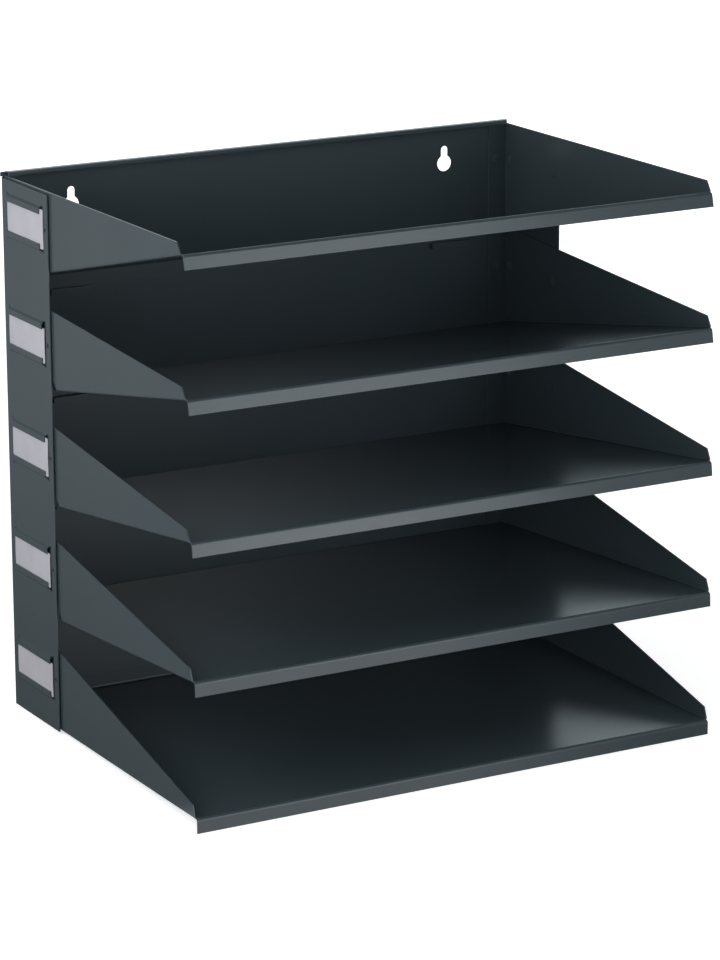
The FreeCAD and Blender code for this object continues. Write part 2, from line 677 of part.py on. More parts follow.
def make_wing_rivets(name, side):
    """Rivets that hold the wings to one cheek: a flush tubular tail, a spacing collar, a formed head."""
    body = make_body(name)
    inward = -side
    cheek = GAUGE
    collar = f"({GAUGE} + Sizes.side_gap)"
    wing = f"(2 * {GAUGE} + Sizes.side_gap)"
    head = f"({wing} + Sizes.rivet_head_height)"
    outline = make_sketch(body, "rivet_profile", "XZ_Plane")
    add_polygon(outline, tuple((f"{inward} * {along}", radius) for along, radius in (
        ("Sizes.rivet_bore_depth", "0"),
        ("Sizes.rivet_bore_depth", "Sizes.rivet_bore_radius"),
        ("0", "Sizes.rivet_bore_radius"),
        ("0", "Sizes.rivet_radius"),
        (cheek, "Sizes.rivet_radius"),
        (cheek, "Sizes.rivet_collar_radius"),
        (collar, "Sizes.rivet_collar_radius"),
        (collar, "Sizes.rivet_radius"),
        (wing, "Sizes.rivet_radius"),
        (wing, "Sizes.rivet_head_radius"),
        (head, "Sizes.rivet_head_radius"),
        (head, "0"),
    )))
    rivet = turn(body, "rivet", outline, "H_Axis")
    repeat(body, "rivets", [rivet], [
        row_step(f"{name}_levels", body, "Z_Axis", LABEL_PITCH, TRAY_COUNT),
        row_step(f"{name}_columns", body, "Y_Axis", f"({REAR_RIVET_Y} - {FRONT_RIVET_Y})", 2),
    ])
    body.setExpression("Placement.Base.x", f"{side} * {HALF_WIDTH}")
    body.setExpression("Placement.Base.y", FRONT_RIVET_Y)
    body.setExpression("Placement.Base.z", "Sizes.label_height")
    return body


def make_wall_rivets(name, first_x, first_z, steps):
    """Rivets through two sheets, flush with the wall face, their heads on the inside."""
    body = make_body(name)
    grip = f"(2 * {GAUGE})"
    outline = make_sketch(body, "rivet_profile", "XY_Plane")
    add_polygon(outline, (
        ("0", "0"),
        ("Sizes.rivet_radius", "0"),
        ("Sizes.rivet_radius", f"-{grip}"),
        ("Sizes.rivet_head_radius", f"-{grip}"),
        ("Sizes.rivet_head_radius", f"-({grip} + Sizes.rivet_head_height)"),
        ("0", f"-({grip} + Sizes.rivet_head_height)"),
    ))
    rivet = turn(body, "rivet", outline, "V_Axis")
    repeat(body, "rivets", [rivet], [row_step(f"{name}_{role[0].lower()}_row", body, role, pitch, count)
                                     for role, pitch, count in steps])
    body.setExpression("Placement.Base.x", first_x)
    body.setExpression("Placement.Base.z", first_z)
    return body


def make_label_card(level, shift, trim):
    """Card held behind the tongues of one label holder, standing on the bend of the lower tongue."""
    card = doc.addObject("Part::Box", f"label_card_{TRAY_COUNT - level}")
    card.Label = card.Name
    card.setExpression("Length", "Sizes.card_thickness")
    card.setExpression("Width", "Sizes.card_width")
    card.setExpression("Height", f"Sizes.card_height - {trim}")
    card.setExpression("Placement.Base.x", f"-{HALF_WIDTH} - Sizes.card_play - Sizes.card_thickness")
    card.setExpression("Placement.Base.y", f"{CARD_REAR_Y} - Sizes.card_width - {shift}")
    card.setExpression("Placement.Base.z",
                       f"Sizes.label_height + {level} * {LABEL_PITCH} - Sizes.card_height / 2")
    return card


# ---------------------------------------------------------------------------------------------
# assembly
# ---------------------------------------------------------------------------------------------
def build_nodes():
    """Make every sub-part and return them in order."""
    nodes = [make_back_panel()]
    left_cheek = make_cheek("left_cheek", -1)
    add_label_holders(left_cheek)
    nodes += [left_cheek, make_cheek("right_cheek", 1)]
    nodes += [make_tray(level) for level in range(TRAY_COUNT)]
    nodes += [make_wing_rivets("wing_rivets_left", -1), make_wing_rivets("wing_rivets_right", 1)]
    nodes.append(make_wall_rivets("flange_rivets", f"-{FLANGE_RIVET_X}", "Sizes.label_height", (
        ("Z_Axis", LABEL_PITCH, TRAY_COUNT),
        ("X_Axis", f"2 * {FLANGE_RIVET_X}", 2),
    )))
    nodes.append(make_wall_rivets("tray_rivets", "-Sizes.tray_rivet_spacing", TRAY_RIVET_Z, (
        ("X_Axis", "Sizes.tray_rivet_spacing", TRAY_RIVET_COUNT),
    )))
    nodes += [make_label_card(level, shift, trim)
              for level, (shift, trim) in enumerate(zip(CARD_SHIFTS, CARD_TRIMS))]
    doc.recompute()
    return nodes


def check(nodes):
    """Stop if anything in the document failed or a sub-part has no valid solid."""
    for item in doc.Objects:
        if "Invalid" in item.State or "Error" in item.State:
            raise RuntimeError(f"{item.Label} failed: {item.State}")
    for node in nodes:
        if node.Shape.isNull() or not node.Shape.isValid():
            raise RuntimeError(f"{node.Label} has no valid shape")


def export(nodes):
    """Write one STEP file for each sub-part."""
    os.makedirs("parts", exist_ok=True)
    for node in nodes:
        node.Shape.exportStep(f"parts/{node.Label}.step")
        box = node.Shape.BoundBox
        print(f"{node.Label:18} solids {len(node.Shape.Solids):2}  "
              f"x {box.XMin:8.2f} {box.XMax:8.2f}  y {box.YMin:8.2f} {box.YMax:8.2f}  "
              f"z {box.ZMin:8.2f} {box.ZMax:8.2f}")


sizes = make_sheet()
parts = build_nodes()
check(parts)
export(parts)
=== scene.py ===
"""Dresses a five-tray sheet-steel letter sorter: satin powder coat, set rivets and paper label cards."""

import json
import logging
import math
from dataclasses import dataclass
from enum import Enum

import bmesh
import bpy
from mathutils import Matrix, Vector

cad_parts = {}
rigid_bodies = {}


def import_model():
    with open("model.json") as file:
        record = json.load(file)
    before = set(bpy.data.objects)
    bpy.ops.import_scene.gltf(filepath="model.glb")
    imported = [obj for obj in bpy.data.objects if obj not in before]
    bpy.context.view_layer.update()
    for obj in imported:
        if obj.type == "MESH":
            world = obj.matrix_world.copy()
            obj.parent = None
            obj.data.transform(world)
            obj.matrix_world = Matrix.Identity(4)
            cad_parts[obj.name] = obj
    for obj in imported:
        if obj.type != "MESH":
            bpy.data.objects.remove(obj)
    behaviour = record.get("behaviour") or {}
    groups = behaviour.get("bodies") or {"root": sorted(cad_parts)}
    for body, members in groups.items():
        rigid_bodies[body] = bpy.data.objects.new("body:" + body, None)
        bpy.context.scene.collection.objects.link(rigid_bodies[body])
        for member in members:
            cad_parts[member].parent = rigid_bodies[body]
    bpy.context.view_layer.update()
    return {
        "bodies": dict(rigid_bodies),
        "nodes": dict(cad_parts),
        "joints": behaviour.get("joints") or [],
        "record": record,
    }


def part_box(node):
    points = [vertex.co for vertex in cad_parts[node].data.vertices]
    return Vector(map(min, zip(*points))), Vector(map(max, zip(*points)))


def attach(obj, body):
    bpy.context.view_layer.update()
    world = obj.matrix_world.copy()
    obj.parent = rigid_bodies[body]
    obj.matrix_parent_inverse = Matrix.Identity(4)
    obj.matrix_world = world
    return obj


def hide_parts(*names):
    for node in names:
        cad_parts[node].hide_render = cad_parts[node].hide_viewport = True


LOG = logging.getLogger("sorter")
MM = 0.001
TRAY_COUNT = 5
WELD_DISTANCE = 0.001 * MM
SHARP_ANGLE = math.radians(40)
ACROSS_SHARE = 0.9
WHITE = (1.0, 1.0, 1.0, 1.0)

Colour = tuple[float, float, float]
Socket = bpy.types.NodeSocket


class Slot(Enum):
    """Material slots of the part's record."""

    POWDER_COAT = "powder_coat"
    RIVET_STEEL = "rivet_steel"
    CARD = "card"


class Side(Enum):
    """The two sides of the sorter; the value is the sign of X."""

    LEFT = -1
    RIGHT = 1


class NodeWeb:
    """A node tree that is being wired, with short ways to add and link nodes."""

    def __init__(self, tree: bpy.types.NodeTree) -> None:
        """Start from an empty tree.

        Args:
            tree: the tree to fill.
        """
        self.tree = tree
        tree.nodes.clear()

    def add(self, kind: str, **settings: object) -> bpy.types.Node:
        """Add a node.

        Args:
            kind: the node's Blender type, without its ShaderNode prefix.
            settings: properties of the node.

        Returns:
            The new node.
        """
        node = self.tree.nodes.new(f"ShaderNode{kind}")
        for name, value in settings.items():
            setattr(node, name, value)
        return node

    def feed(self, node: bpy.types.Node, **values: object) -> bpy.types.Node:
        """Set or link inputs of a node.

        Args:
            node: the node to feed.
            values: input names with underscores for spaces, or in0, in1 for places in the list.

        Returns:
            The same node.
        """
        for name, value in values.items():
            place = int(name[2:]) if name[:2] == "in" and name[2:].isdigit() else name.replace("_", " ")
            socket = node.inputs[place]
            if isinstance(value, Socket):
                self.tree.links.new(value, socket)
            else:
                socket.default_value = value
        return node

    def noise(self, where: Socket, scale: float, detail: float = 2.0, roughness: float = 0.5) -> Socket:
        """Noise over a coordinate.

        Args:
            where: the coordinate.
            scale: cells per metre.
            detail: octaves.
            roughness: weight of the finer octaves.

        Returns:
            The noise value, from 0 to 1.
        """
        node = self.feed(self.add("TexNoise"), Vector=where, Scale=scale, Detail=detail,
                         Roughness=roughness)
        return node.outputs["Fac"]

    def ramp(self, value: Socket, low: float, high: float, start: float = 0.0, end: float = 1.0) -> Socket:
        """Value moved from one range to another, clamped.

        Args:
            value: the value to move.
            low: value that becomes start.
            high: value that becomes end.
            start: result at low.
            end: result at high.

        Returns:
            The moved value.
        """
        node = self.add("MapRange", clamp=True)
        self.feed(node, in0=value, in1=low, in2=high, in3=start, in4=end)
        return node.outputs[0]

    def math(self, operation: str, first: Socket | float, second: Socket | float,
             third: Socket | float = 0.0) -> Socket:
        """Result of an operation on two or three values.

        Args:
            operation: the operation's Blender name.
            first: first value.
            second: second value.
            third: third value, where the operation takes one.

        Returns:
            The result.
        """
        node = self.feed(self.add("Math", operation=operation), in0=first, in1=second, in2=third)
        return node.outputs[0]

    def tint(self, share: Socket, first: Socket | Colour, second: Socket | Colour) -> Socket:
        """Mix of two colours.

        Args:
            share: share of the second colour.
            first: first colour.
            second: second colour.

        Returns:
            The mixed colour.
        """
        # A Mix node lists its colour sockets after those for numbers and vectors.
        node = self.add("Mix", data_type="RGBA")
        colours = [(*colour, 1.0) if isinstance(colour, tuple) else colour for colour in (first, second)]
        self.feed(node, in0=share, in6=colours[0], in7=colours[1])
        return node.outputs[2]


def scaled(colour: Colour, factor: float) -> Colour:
    """Colour made lighter or darker by a factor."""
    return tuple(channel * factor for channel in colour)


@dataclass(frozen=True)
class Fade:
    """A value that runs from one level to another along a line, and stays level past both ends.

    Attributes:
        begin: place at which it leaves the first level.
        end: place at which it reaches the last level.
        first: first level.
        last: last level.
    """

    begin: float
    end: float
    first: float = 0.0
    last: float = 1.0

    def along(self, web: NodeWeb, place: Socket) -> Socket:
        """Level at a place."""
        return web.ramp(place, self.begin, self.end, self.first, self.last)


@dataclass(frozen=True)
class Speckle:
    """An uneven pattern in a finish.

    Attributes:
        cells: cells per metre.
        octaves: octaves of detail.
        crispness: weight of the finer octaves.
        fade: what the pattern's value, from 0 to 1, becomes.
    """

    cells: float
    octaves: float = 2.0
    crispness: float = 0.5
    fade: Fade = Fade(0.3, 0.7)

    def over(self, web: NodeWeb, where: Socket) -> Socket:
        """Pattern over a coordinate."""
        return self.fade.along(web, web.noise(where, self.cells, self.octaves, self.crispness))


@dataclass(frozen=True)
class PowderCoat:
    """Satin powder coat on sheet steel.

    Attributes:
        name: the material's name.
        colour: base colour.
        roughness: mean roughness of the film.
        peel_size: width of one orange-peel dimple.
        peel_depth: depth of the dimples.
        peel_crispness: weight of the dimples' finer octaves.
        peel_share: weight of the dimples beside the finer grit.
        grit_fineness: grains of grit across one dimple.
        thin_film_and_highlight_colour: colour of the film where it runs thin over an edge, made lighter so
            that it also paints a highlight along the edges.
        edge_radius: radius of the film over a cut edge.
        edge_samples: rays that look for an edge.
        edge_wear_and_highlight_share: how strongly the worn film and the painted highlight on the edges
            show.
        edge_turn: cosine of the turn from the flat sheet, at which an edge starts to show and shows fully.
        mottle: share by which the colour wanders.
        cloud: where the colour wanders.
        pigment: pale grains of pigment.
        pigment_lift: how much paler they are than the film.
        scuff_and_highlight_patches: where the edges are worn and carry the painted highlight.
        handled: change of roughness that hands leave.
        grit: change of roughness over the grit.
        refraction: refractive index.
    """

    name: str
    colour: Colour
    roughness: float = 0.22
    peel_size: float = 1.3 * MM
    peel_depth: float = 0.012 * MM
    peel_crispness: float = 0.55
    peel_share: float = 0.8
    grit_fineness: float = 4.0
    thin_film_and_highlight_colour: Colour = (0.17, 0.19, 0.21)
    edge_radius: float = 0.3 * MM
    edge_samples: int = 8
    edge_wear_and_highlight_share: float = 0.5
    edge_turn: Fade = Fade(0.995, 0.86)
    mottle: float = 0.05
    cloud: Speckle = Speckle(9.0, 4.0, 0.6)
    pigment: Speckle = Speckle(2600.0, 1.0, fade=Fade(0.35, 0.75, 0.0, 0.22))
    pigment_lift: float = 1.6
    scuff_and_highlight_patches: Speckle = Speckle(140.0, 3.0, 0.7, Fade(0.35, 0.65, 0.35, 1.0))
    handled: Speckle = Speckle(14.0, 3.0, fade=Fade(0.3, 0.7, -0.012, 0.018))
    grit: Fade = Fade(0.3, 0.7, -0.02, 0.02)
    refraction: float = 1.5

    def make(self) -> bpy.types.Material:
        """Build the material.

        Returns:
            The material, with its pattern on object coordinates.
        """
        material = bpy.data.materials.new(self.name)
        material.use_nodes = True
        web = NodeWeb(material.node_tree)
        where = web.add("TexCoord").outputs["Object"]
        bevel = web.add("Bevel", samples=self.edge_samples)
        rounded = web.feed(bevel, Radius=self.edge_radius).outputs[0]
        shader = web.add("BsdfPrincipled")
        self._wire_colour(web, where, rounded, shader)
        self._wire_surface(web, where, rounded, shader)
        web.feed(web.add("OutputMaterial"), Surface=shader.outputs["BSDF"])
        return material

    def _edge(self, web: NodeWeb, rounded: Socket) -> Socket:
        """Mask that is 1 on rounded edges and 0 on flat sheet.

        Args:
            web: the material's nodes.
            rounded: the normal, rounded over the edges.

        Returns:
            The mask.
        """
        flat = web.add("NewGeometry").outputs["True Normal"]
        product = web.feed(web.add("VectorMath", operation="DOT_PRODUCT"), in0=rounded, in1=flat)
        return self.edge_turn.along(web, product.outputs["Value"])

    def _wire_colour(self, web: NodeWeb, where: Socket, rounded: Socket, shader: bpy.types.Node) -> None:
        """Cloudy film, fine pigment grain, and a lighter edge colour that is partly worn film and partly
        painted highlight.

        Args:
            web: the material's nodes.
            where: place on the piece.
            rounded: the normal, rounded over the edges.
            shader: the shader that takes the colour.
        """
        clouded = web.tint(self.cloud.over(web, where), scaled(self.colour, 1.0 - self.mottle),
                           scaled(self.colour, 1.0 + self.mottle))
        grained = web.tint(self.pigment.over(web, where), clouded, scaled(self.colour, self.pigment_lift))
        # Edges take a lighter colour: partly thinner, worn film, partly a painted highlight that stands in
        # for glints on the rounded edges.
        wear_and_highlight_mask = web.math("MULTIPLY", self._edge(web, rounded), self.scuff_and_highlight_patches.over(web, where))
        wear_and_highlight_mask = web.math("MULTIPLY", wear_and_highlight_mask, self.edge_wear_and_highlight_share)
        web.feed(shader, Base_Color=web.tint(wear_and_highlight_mask, grained, self.thin_film_and_highlight_colour))

    def _wire_surface(self, web: NodeWeb, where: Socket, rounded: Socket, shader: bpy.types.Node) -> None:
        """Orange peel, uneven gloss and hand marks.

        Args:
            web: the material's nodes.
            where: place on the piece.
            rounded: the normal, rounded over the edges.
            shader: the shader that takes the relief and the gloss.
        """
        peel = web.noise(where, 1.0 / self.peel_size, roughness=self.peel_crispness)
        fine = web.noise(where, self.grit_fineness / self.peel_size, 1.0)
        relief = web.math("ADD", web.math("MULTIPLY", peel, self.peel_share),
                          web.math("MULTIPLY", fine, 1.0 - self.peel_share))
        bump = web.feed(web.add("Bump"), Strength=1.0, Distance=self.peel_depth, Height=relief,
                        Normal=rounded)
        uneven = web.math("ADD", self.handled.over(web, where), self.grit.along(web, fine))
        gloss = web.math("ADD", uneven, self.roughness)
        web.feed(shader, Roughness=gloss, Normal=bump.outputs[0], IOR=self.refraction)


@dataclass(frozen=True)
class PaperStock:
    """Uncoated card.

    Attributes:
        name: the material's name.
        colour: base colour.
        fibre_size: width of one fibre clump.
        fibre_depth: height of the fibres.
        fibre_draw: factor of the fibres' cells along the card, under 1 for long fibres.
        fibre_octaves: octaves of detail in the fibres.
        fibre_crispness: weight of their finer octaves.
        relief: strength of their relief.
        fleck: where darker fibres show.
        gloss: roughness of the hollows and of the fibres.
        cloud: where the colour wanders.
        tones: factors of the base colour between which it wanders, and that of the flecks.
        refraction: refractive index.
    """

    name: str
    colour: Colour
    fibre_size: float = 0.35 * MM
    fibre_depth: float = 0.02 * MM
    fibre_draw: float = 0.35
    fibre_octaves: float = 4.0
    fibre_crispness: float = 0.7
    relief: float = 0.6
    fleck: Fade = Fade(0.58, 0.75, 0.0, 0.3)
    gloss: Fade = Fade(0.3, 0.7, 0.78, 0.92)
    cloud: Speckle = Speckle(60.0, 3.0, 0.6)
    tones: tuple[float, float, float] = (0.94, 1.04, 0.8)
    refraction: float = 1.4

    def make(self) -> bpy.types.Material:
        """Build the material.

        Returns:
            The material, with its pattern on object coordinates.
        """
        material = bpy.data.materials.new(self.name)
        material.use_nodes = True
        web = NodeWeb(material.node_tree)
        where = web.add("TexCoord").outputs["Object"]
        stretch = web.feed(web.add("Mapping"), Vector=where, Scale=(1.0, self.fibre_draw, 1.0))
        fibre = web.noise(stretch.outputs[0], 1.0 / self.fibre_size, self.fibre_octaves,
                          self.fibre_crispness)
        dark, pale, fleck = (scaled(self.colour, tone) for tone in self.tones)
        toned = web.tint(self.cloud.over(web, where), dark, pale)
        flecked = web.tint(self.fleck.along(web, fibre), toned, fleck)
        bump = web.feed(web.add("Bump"), Strength=self.relief, Distance=self.fibre_depth, Height=fibre)
        shader = web.feed(web.add("BsdfPrincipled"), Base_Color=flecked, Normal=bump.outputs[0],
                          Roughness=self.gloss.along(web, fibre), IOR=self.refraction)
        web.feed(web.add("OutputMaterial"), Surface=shader.outputs["BSDF"])
        return material


class Workshop:
    """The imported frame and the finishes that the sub-assemblies take."""

    def __init__(self, frame: dict) -> None:
        """Make each finish once.

        Args:
            frame: the loaded frame.
        """
        self.frame = frame
        self.finishes = {
            Slot.POWDER_COAT: PowderCoat("powder_coat_anthracite", (0.04, 0.0555, 0.0625)).make(),
            # The rivets get a weaker lighter edge colour: worn film and painted highlight.
            Slot.RIVET_STEEL: PowderCoat("powder_coat_rivets", (0.038, 0.0525, 0.059), roughness=0.3,
                                         edge_wear_and_highlight_share=0.2).make(),
            Slot.CARD: PaperStock("card_paper", (0.438, 0.433, 0.468)).make(),
        }

    def dress_node(self, node: str, slot: Slot) -> None:
        """Give a carried-over node its finish.

        Args:
            node: the node's name.
            slot: the finish.
        """
        piece = self.frame["nodes"][node]
        for place in piece.material_slots:
            place.material = self.finishes[slot]
        LOG.info("%s: dressed as %s", node, slot.value)

    def finish_piece(self, mesh: bmesh.types.BMesh, name: str, slot: Slot, body: str,
                     node: str) -> bpy.types.Object:
        """Turn a mesh into a piece that stands for a node.

        Args:
            mesh: the shape, in its place in the frame; it is freed.
            name: the piece's name.
            slot: the finish.
            body: the body that it rides on.
            node: the node that it stands for.

        Returns:
            The piece.
        """
        bmesh.ops.remove_doubles(mesh, verts=mesh.verts, dist=WELD_DISTANCE)
        bmesh.ops.recalc_face_normals(mesh, faces=mesh.faces)
        data = bpy.data.meshes.new(name)
        mesh.to_mesh(data)
        mesh.free()
        data.shade_smooth()
        data.set_sharp_from_angle(angle=SHARP_ANGLE)
        data.materials.append(self.finishes[slot])
        piece = bpy.data.objects.new(name, data)
        bpy.context.scene.collection.objects.link(piece)
        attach(piece, body)
        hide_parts(node)
        LOG.info("%s: %d faces on %s", name, len(data.polygons), body)
        return piece


@dataclass
class SheetWork:
    """Folded sheets, which keep the shape of their solids.

    Attributes:
        nodes: the sheets' nodes.
    """

    nodes: tuple[str, ...]

    def build(self, shop: Workshop) -> None:
        """Dress the sheets.

        Args:
            shop: finishes and frame.
        """
        for node in self.nodes:
            shop.dress_node(node, Slot.POWDER_COAT)


@dataclass(frozen=True)
class RivetShape:
    """Sizes of one kind of rivet, with depths counted from its flush end.

    Attributes:
        grip: depth of the head's underside.
        bore_depth: depth of the hollow in the flush end, or 0 where it is solid.
        collar: depths between which a spacing collar sits, if it has one.
        shank_radius: radius of the shank.
        bore_radius: radius of the hollow.
        collar_radius: radius of the collar.
        head_radius: radius of the head.
        head_height: height of the head.
        chamfer: width of the broken edges.
        flare: depths of the hollow's flared mouth, from its throat to its rim.
        brim: height shares of the head's upright side and of the edge above it.
        dish: radius share and depth of the points of a solid flush end.
        crown: radius share and height share of the points of the domed head.
    """

    grip: float
    bore_depth: float = 0.0
    collar: tuple[float, float] | None = None
    shank_radius: float = 1.6 * MM
    bore_radius: float = 1.2 * MM
    collar_radius: float = 2.4 * MM
    head_radius: float = 2.8 * MM
    head_height: float = 0.5 * MM
    chamfer: float = 0.12 * MM
    flare: tuple[float, float] = (0.3 * MM, 0.036 * MM)
    brim: tuple[float, float] = (0.3, 0.5)
    dish: tuple[tuple[float, float], ...] = ((0.0, 0.1 * MM), (0.6, 0.07 * MM))
    crown: tuple[tuple[float, float], ...] = ((0.82, 0.8), (0.5, 0.95), (0.0, 1.0))

    def profile(self) -> list[tuple[float, float]]:
        """Half outline of the rivet.

        Returns:
            Radius and depth of each point, from the flush end's centre to the head's crown.
        """
        return [*self._flush_end(), *self._collar_ring(), *self._head()]

    def _flush_end(self) -> list[tuple[float, float]]:
        """Points of the flush end, with its flared hollow if it has one.

        Returns:
            Radius and depth of each point, from the centre out to the shank.
        """
        rim = [(self.shank_radius - self.chamfer, 0.0), (self.shank_radius, self.chamfer)]
        if not self.bore_depth:
            return [*((self.shank_radius * share, depth) for share, depth in self.dish), *rim]
        throat, lip = self.flare
        return [
            (0.0, self.bore_depth),
            (self.bore_radius - self.chamfer, self.bore_depth),
            (self.bore_radius, self.bore_depth - self.chamfer),
            (self.bore_radius, throat),
            (self.bore_radius + self.chamfer, lip),
            *rim,
        ]

    def _collar_ring(self) -> list[tuple[float, float]]:
        """Points of the collar.

        Returns:
            Radius and depth of each point, or nothing where there is no collar.
        """
        if self.collar is None:
            return []
        near, far = self.collar
        return [
            (self.shank_radius, near),
            (self.collar_radius - self.chamfer, near),
            (self.collar_radius, near + self.chamfer),
            (self.collar_radius, far - self.chamfer),
            (self.collar_radius - self.chamfer, far),
            (self.shank_radius, far),
        ]

    def _head(self) -> list[tuple[float, float]]:
        """Points of the low domed head.

        Returns:
            Radius and depth of each point, from the shank to the crown.
        """
        dome = [(self.head_radius * share, self.grip + self.head_height * rise)
                for share, rise in self.crown]
        side_top, edge_top = (self.grip + self.head_height * share for share in self.brim)
        return [
            (self.shank_radius, self.grip),
            (self.head_radius - self.chamfer, self.grip),
            (self.head_radius, self.grip + self.chamfer),
            (self.head_radius, side_top),
            (self.head_radius - self.chamfer, edge_top),
            *dome,
        ]


@dataclass
class RivetRow:
    """Rivets of one kind, all along one axis.

    Attributes:
        node: the node that the row stands for.
        shape: the rivet's sizes.
        places: centre of each rivet's flush end.
        inward: direction from the flush end to the head.
        steps: facets round a rivet.
    """

    node: str
    shape: RivetShape
    places: list[Vector]
    inward: Vector
    steps: int = 28

    def build(self, shop: Workshop) -> None:
        """Build the row as one piece.

        Args:
            shop: finishes and frame.
        """
        mesh = bmesh.new()
        for place in self.places:
            self._turn_rivet(mesh, place)
        shop.finish_piece(mesh, f"{self.node}_set", Slot.RIVET_STEEL, "carcass", self.node)

    def _turn_rivet(self, mesh: bmesh.types.BMesh, place: Vector) -> None:
        """Spin one rivet.

        Args:
            mesh: the mesh to add it to.
            place: centre of its flush end.
        """
        sideways = self.inward.orthogonal().normalized()
        points = [mesh.verts.new(place + sideways * radius + self.inward * depth)
                  for radius, depth in self.shape.profile()]
        edges = [mesh.edges.new(pair) for pair in zip(points, points[1:])]
        bmesh.ops.spin(mesh, geom=points + edges, cent=place, axis=self.inward, dvec=(0, 0, 0),
                       angle=math.tau, steps=self.steps, use_merge=True, use_duplicate=False)


@dataclass
class RivetWork:
    """Every rivet of the sorter.

    Attributes:
        half_width: place of the cheeks' outer sides along X.
        lowest_row: height of the rivets beside the lowest label card.
        row_pitch: step up to the rivets beside the next card.
        front_row: place along Y of the wing rivets near the cheeks' front edges.
        rear_row: place along Y of the wing rivets near the wall.
        flange_row: place along X of the rivets in the cheeks' flanges.
        tray_row: places along X of the lowest tray's rivets.
        tray_row_height: height of those rivets.
        through_wing: rivet through cheek and wing.
        through_panel: rivet through the back panel and a flange.
    """

    half_width: float = 180.0 * MM
    lowest_row: float = 32.5 * MM
    row_pitch: float = 70.5 * MM
    front_row: float = -62.9 * MM
    rear_row: float = -10.2 * MM
    flange_row: float = 172.0 * MM
    tray_row: tuple[float, ...] = (-60.0 * MM, 0.0, 60.0 * MM)
    tray_row_height: float = 5.5 * MM
    through_wing: RivetShape = RivetShape(2.4 * MM, bore_depth=1.5 * MM, collar=(0.8 * MM, 1.6 * MM))
    through_panel: RivetShape = RivetShape(1.6 * MM)

    def build(self, shop: Workshop) -> None:
        """Build the four sets of rivets.

        Args:
            shop: finishes and frame.
        """
        for side in Side:
            self._wing_row(side).build(shop)
        forwards = Vector((0, -1, 0))
        flange_places = [Vector((side.value * self.flange_row, 0, height))
                         for side in Side for height in self._row_heights()]
        RivetRow("flange_rivets", self.through_panel, flange_places, forwards).build(shop)
        tray_places = [Vector((across, 0, self.tray_row_height)) for across in self.tray_row]
        RivetRow("tray_rivets", self.through_panel, tray_places, forwards).build(shop)

    def _row_heights(self) -> list[float]:
        """Heights of the rivets beside the label cards, from the lowest up."""
        return [self.lowest_row + self.row_pitch * level for level in range(TRAY_COUNT)]

    def _wing_row(self, side: Side) -> RivetRow:
        """Rivets through one cheek and the wings.

        Args:
            side: the cheek.

        Returns:
            The row.
        """
        places = [Vector((side.value * self.half_width, along, height))
                  for height in self._row_heights() for along in (self.front_row, self.rear_row)]
        node = f"wing_rivets_{side.name.lower()}"
        return RivetRow(node, self.through_wing, places, Vector((-side.value, 0, 0)))


@dataclass
class LabelCard:
    """A paper card that slides behind the tongues of one label holder.

    Attributes:
        node: the node that it stands for, which is also its body.
        corner: radius of the trimmed corners.
        corner_steps: facets round a corner.
        bow: how far the card's middle stands out between the tongues.
        rows: strips along the height, for the bow.
    """

    node: str
    corner: float = 0.7 * MM
    corner_steps: int = 3
    bow: float = 0.12 * MM
    rows: int = 12

    def build(self, shop: Workshop) -> None:
        """Build the card.

        Args:
            shop: finishes and frame.
        """
        low, high = (Vector(corner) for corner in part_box(self.node))
        middle = (low + high) / 2
        extent = high - low
        place = Matrix.Translation(middle) @ Matrix.Diagonal((*extent, 1.0))
        mesh = bmesh.new()
        bmesh.ops.create_cube(mesh, size=1.0, matrix=place)
        trimmed = [edge for edge in mesh.edges if self._runs_across(edge)]
        bmesh.ops.bevel(mesh, geom=trimmed, offset=self.corner, affect="EDGES", segments=self.corner_steps,
                        profile=0.5, material=-1, clamp_overlap=True)
        for row in range(1, self.rows):
            level = low.z + extent.z * row / self.rows
            bmesh.ops.bisect_plane(mesh, geom=[*mesh.verts, *mesh.edges, *mesh.faces],
                                   plane_co=(0, 0, level), plane_no=(0, 0, 1))
        for point in mesh.verts:
            share = 1 - ((point.co.z - middle.z) / (extent.z / 2)) ** 2
            point.co.x -= self.bow * share * share
        shop.finish_piece(mesh, f"{self.node}_paper", Slot.CARD, self.node, self.node)

    @staticmethod
    def _runs_across(edge: bmesh.types.BMEdge) -> bool:
        """Whether an edge runs through the card's thickness."""
        run = edge.verts[1].co - edge.verts[0].co
        return abs(run.x) > ACROSS_SHARE * run.length


@dataclass(frozen=True)
class Lamp:
    """A soft rectangular lamp that looks at the sorter.

    Attributes:
        name: the lamp's name.
        azimuth: degrees round from the front, negative to the left.
        elevation: degrees above the floor.
        distance: metres from the sorter's middle.
        size: width and height in metres.
        power: watts.
        tint: colour of the light.
        mirrored: whether the coat mirrors it.
    """

    name: str
    azimuth: float
    elevation: float
    distance: float
    size: tuple[float, float]
    power: float
    tint: Colour = (0.93, 0.965, 1.0)
    mirrored: bool = True

    def place(self, target: Vector) -> None:
        """Hang the lamp.

        Args:
            target: the point that it looks at.
        """
        data = bpy.data.lights.new(self.name, "AREA")
        data.shape = "RECTANGLE"
        data.size, data.size_y = self.size
        data.energy = self.power
        data.color = self.tint
        lamp = bpy.data.objects.new(self.name, data)
        lamp.visible_camera = False
        lamp.visible_glossy = self.mirrored
        bpy.context.scene.collection.objects.link(lamp)
        azimuth, elevation = math.radians(self.azimuth), math.radians(self.elevation)
        towards = Vector((math.sin(azimuth) * math.cos(elevation), -math.cos(azimuth) * math.cos(elevation),
                          math.sin(elevation)))
        turn = towards.to_track_quat("Z", "Y").to_matrix().to_4x4()
        lamp.matrix_world = Matrix.Translation(target + towards * self.distance) @ turn


